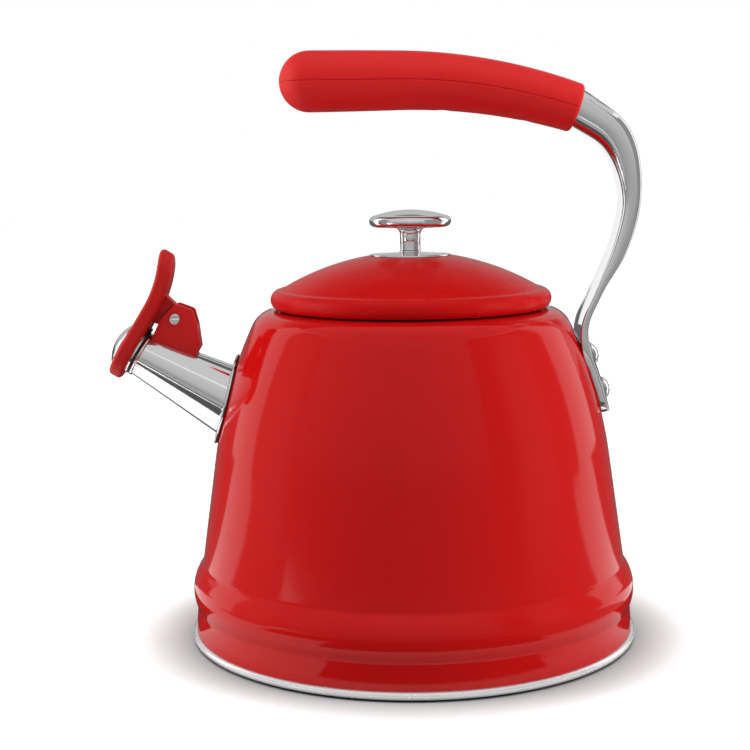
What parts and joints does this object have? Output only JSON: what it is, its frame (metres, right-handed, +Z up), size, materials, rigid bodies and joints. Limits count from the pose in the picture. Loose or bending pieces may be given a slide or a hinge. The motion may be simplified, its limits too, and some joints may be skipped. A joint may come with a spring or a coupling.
{
  "type": "stovetop whistling kettle",
  "caption": "Enamelled stovetop kettle with a lift-off lid, a one-armed handle over the top and a spout closed by a sprung whistle cap with a thumb tab.",
  "frame": {"origin": "centre of the base, on the face that stands on the hob", "axes": "+Z up, the spout points to -X and the handle stands on +X"},
  "size_m": [0.2284, 0.194, 0.2521],
  "materials": {
    "red_enamel": "gloss",
    "red_plastic": "satin",
    "polished_steel": "polished",
    "steel": "brushed",
    "aluminium": "matte",
    "black_rubber": "matte"
  },
  "bodies": {
    "kettle": {"body_shell": "red_enamel", "base_pan": "steel", "heat_spreader": "aluminium", "induction_plate": "steel", "spout_tube": "polished_steel", "spout_gasket": "black_rubber", "spout_lock_ring": "steel", "spout_bracket": "red_plastic", "bracket_screw": "steel", "hinge_pin": "steel", "hinge_spring": "steel", "handle_strap": "polished_steel", "handle_rivets": "polished_steel", "rivet_washers": "steel", "grip_upper": "red_plastic", "grip_lower": "red_plastic", "grip_screws": "steel"},
    "lid": {"lid_shell": "red_enamel", "lid_liner": "steel", "lid_seal": "black_rubber", "knob": "polished_steel", "knob_rosette": "polished_steel", "knob_washer": "steel", "knob_screw": "steel"},
    "whistle": {"whistle_lever": "red_plastic", "whistle_dome": "polished_steel", "whistle_plate": "steel", "whistle_seal": "black_rubber"}
  },
  "joints": [
    {"name": "lid_lift", "type": "slide", "parent": "kettle", "child": "lid", "axis": [0, 0, 1], "range_m": [0, 0.038]},
    {"name": "whistle_hinge", "type": "hinge", "parent": "kettle", "child": "whistle", "pos_m": [-0.10157, 0, 0.13912], "axis": [0, 1, 0], "range_deg": [0, 45], "stiffness_Nm_per_rad": 0.03, "springref_deg": -34.38, "deforming": ["hinge_spring"]}
  ]
}
